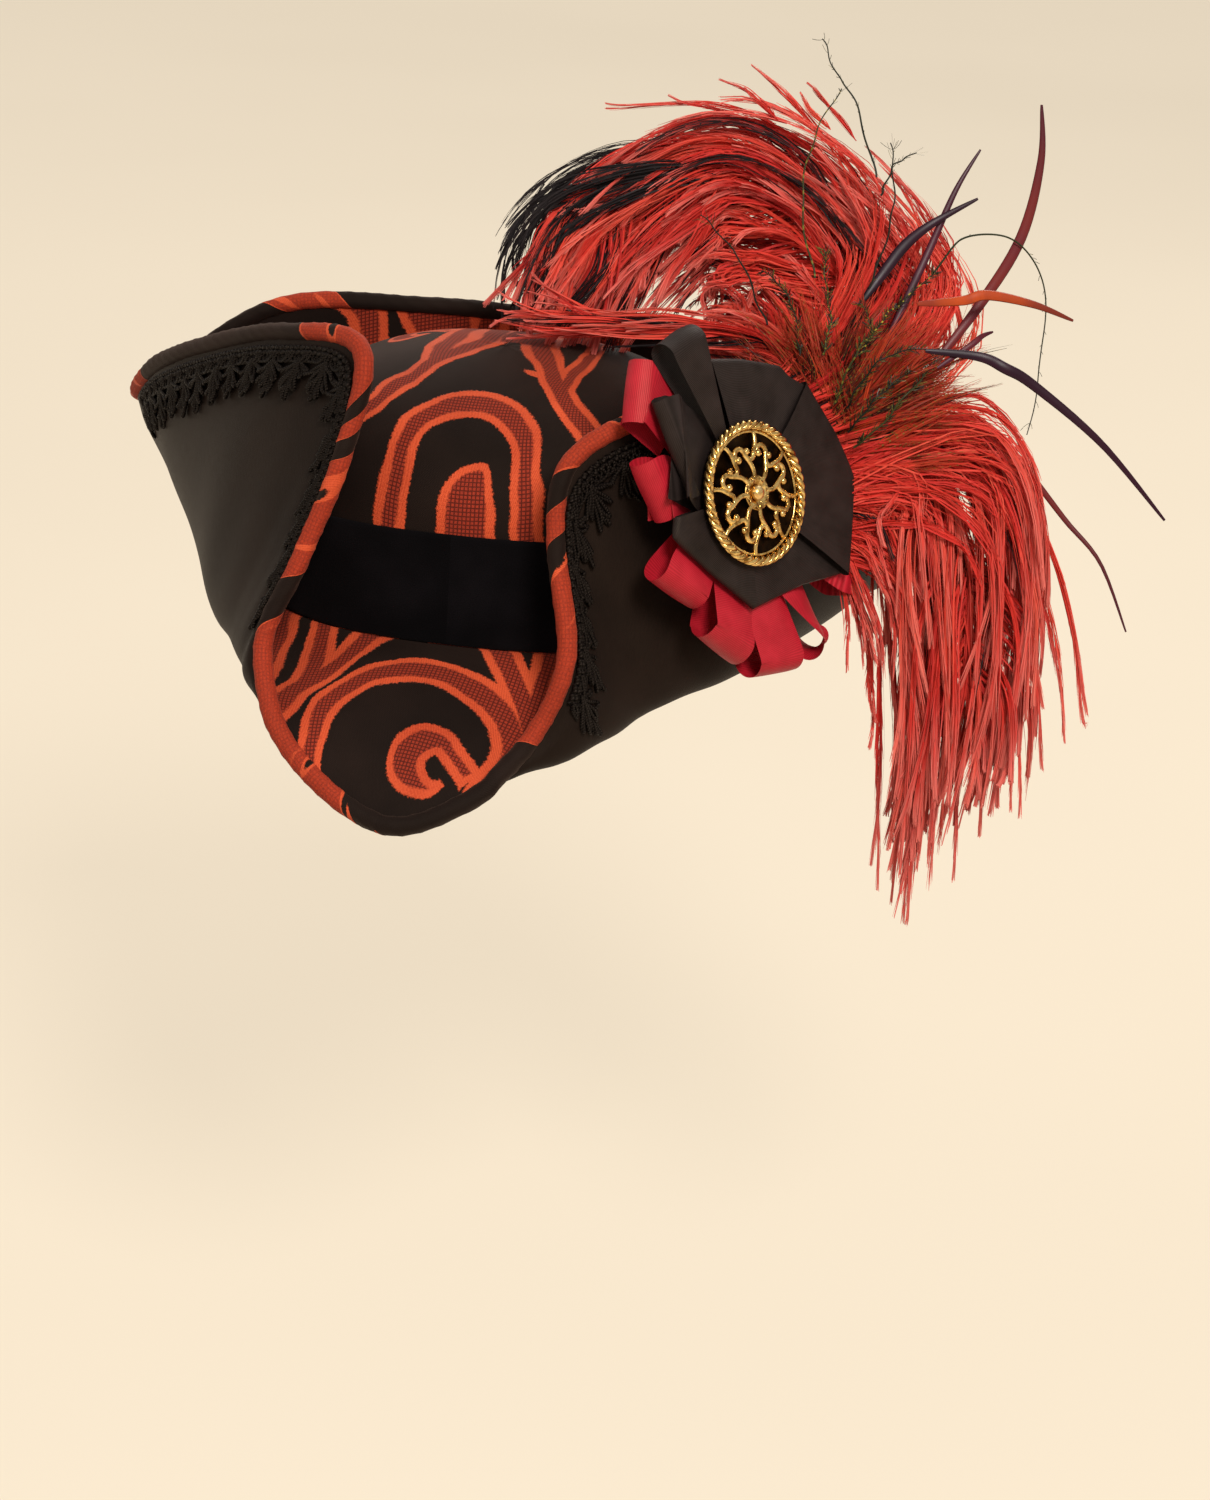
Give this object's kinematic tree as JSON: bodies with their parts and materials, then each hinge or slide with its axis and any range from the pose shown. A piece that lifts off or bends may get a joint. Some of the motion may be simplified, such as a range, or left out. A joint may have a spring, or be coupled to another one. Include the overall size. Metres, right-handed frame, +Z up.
{
  "type": "pirate hat",
  "caption": "Small brocade tricorn hat with a velvet band, wired turned-up brim, ribbon cockade, metal button and an ostrich feather spray.",
  "frame": {"origin": "centre of the head opening, at the upper face of the brim's buckram where the crown stands", "axes": "+Z up along the crown's axis, -Y to the brim's front point, +X to the wearer's left, where the cockade sits"},
  "size_m": [0.3498, 0.223, 0.2643],
  "materials": {
    "buckram": "stiff open weave",
    "brocade": "jacquard, black ground with orange and rust scrolls",
    "lining": "satin",
    "black_grosgrain": "fine cross ribs",
    "velvet": "pile",
    "taffeta": "soft sheen",
    "gimp": "corded braid",
    "wire": "plain",
    "red_grosgrain": "fine cross ribs",
    "gold": "polished antique gold",
    "dark_gold": "darkened",
    "thread": "wound thread",
    "quill": "dyed feather shaft",
    "red_ostrich": "soft plume",
    "black_ostrich": "soft plume",
    "hackle": "rust and olive hackle feather",
    "biot": "curled feather barb",
    "herl": "thin feather barb",
    "comb": "moulded"
  },
  "bodies": {
    "root": {"crown_shell": "buckram", "crown_cover": "brocade", "crown_lining": "lining", "sweatband": "black_grosgrain", "hatband": "velvet", "brim_base": "buckram", "brim_top_cover": "brocade", "brim_under_cover": "taffeta", "brim_wire": "wire", "brim_binding": "brocade", "gimp_left_flap": "gimp", "gimp_rear_flap": "gimp", "gimp_right_flap": "gimp", "cockade_pad": "buckram", "red_loop_1": "red_grosgrain", "red_loop_2": "red_grosgrain", "red_loop_3": "red_grosgrain", "red_loop_4": "red_grosgrain", "red_loop_5": "red_grosgrain", "red_loop_6": "red_grosgrain", "red_loop_7": "red_grosgrain", "red_loop_8": "red_grosgrain", "black_loop_top": "black_grosgrain", "black_loop_side": "black_grosgrain", "black_panel_top": "black_grosgrain", "black_panel_right": "black_grosgrain", "black_panel_bottom": "black_grosgrain", "black_panel_left": "black_grosgrain", "button_shank": "dark_gold", "button_plate": "dark_gold", "button_rope": "gold", "button_filigree": "gold", "button_bead": "gold", "feather_wrap": "thread", "plume_upper_quill": "quill", "plume_upper": "red_ostrich", "plume_black": "black_ostrich", "plume_crown": "red_ostrich", "plume_lower_quill": "quill", "plume_lower": "red_ostrich", "hackle_pad": "hackle", "curled_biots": "biot", "peacock_herls": "herl", "hair_comb": "comb"}
  },
  "joints": []
}
